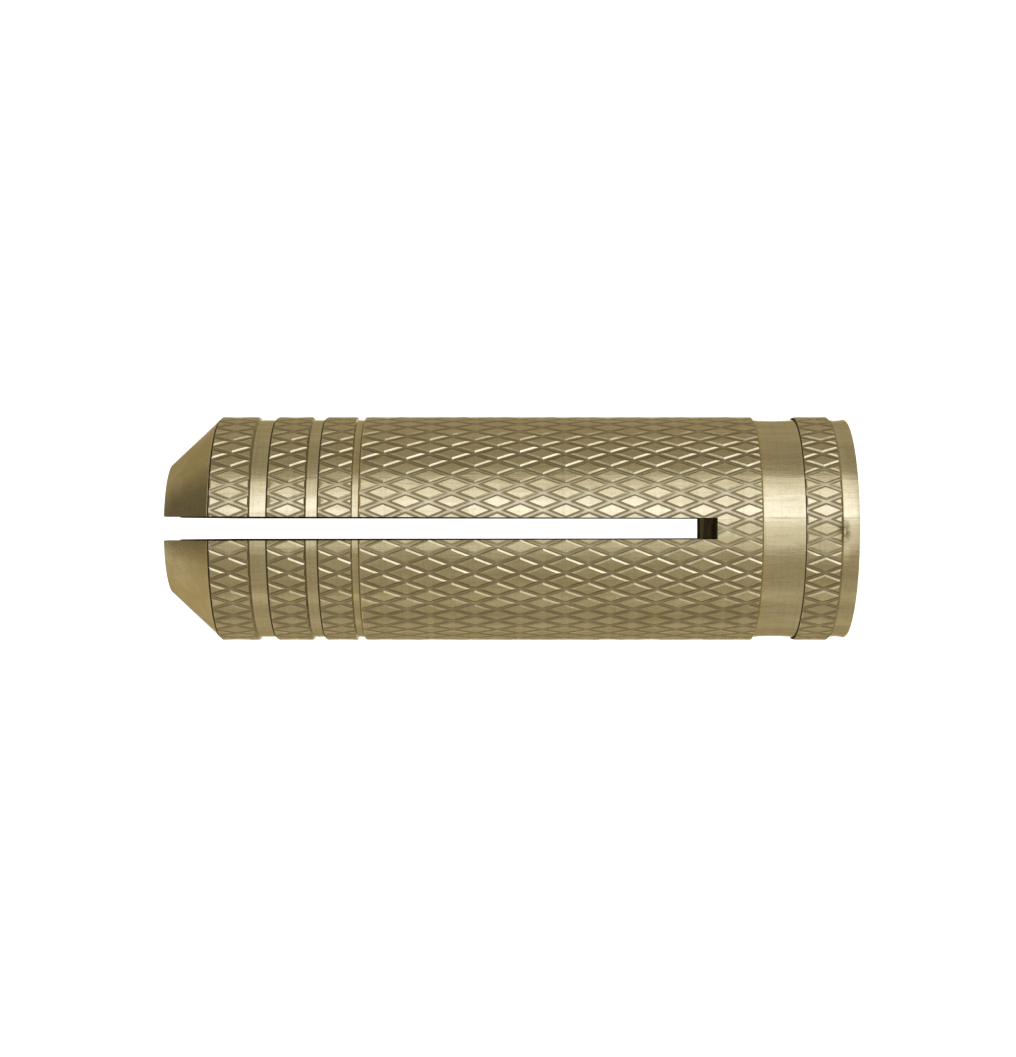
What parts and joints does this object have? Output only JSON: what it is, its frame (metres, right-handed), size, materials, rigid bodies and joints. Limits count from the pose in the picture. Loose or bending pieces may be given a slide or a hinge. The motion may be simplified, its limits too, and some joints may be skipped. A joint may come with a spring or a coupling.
{
  "type": "brass expansion anchor",
  "caption": "Knurled brass expansion sleeve with an internal metric thread at its mouth and a sawn slot from its tapered nose, set in a drilled hole and spread by a screw.",
  "frame": {"origin": "centre of the flat mouth face, on which the sleeve stands", "axes": "+Z along the sleeve's axis from the mouth to the nose; the sawn slot lies in the YZ plane"},
  "size_m": [0.008, 0.008, 0.024],
  "materials": {
    "turned_brass": "bright turned and knurled"
  },
  "bodies": {
    "root": {"anchor_sleeve": "turned_brass"}
  },
  "joints": []
}
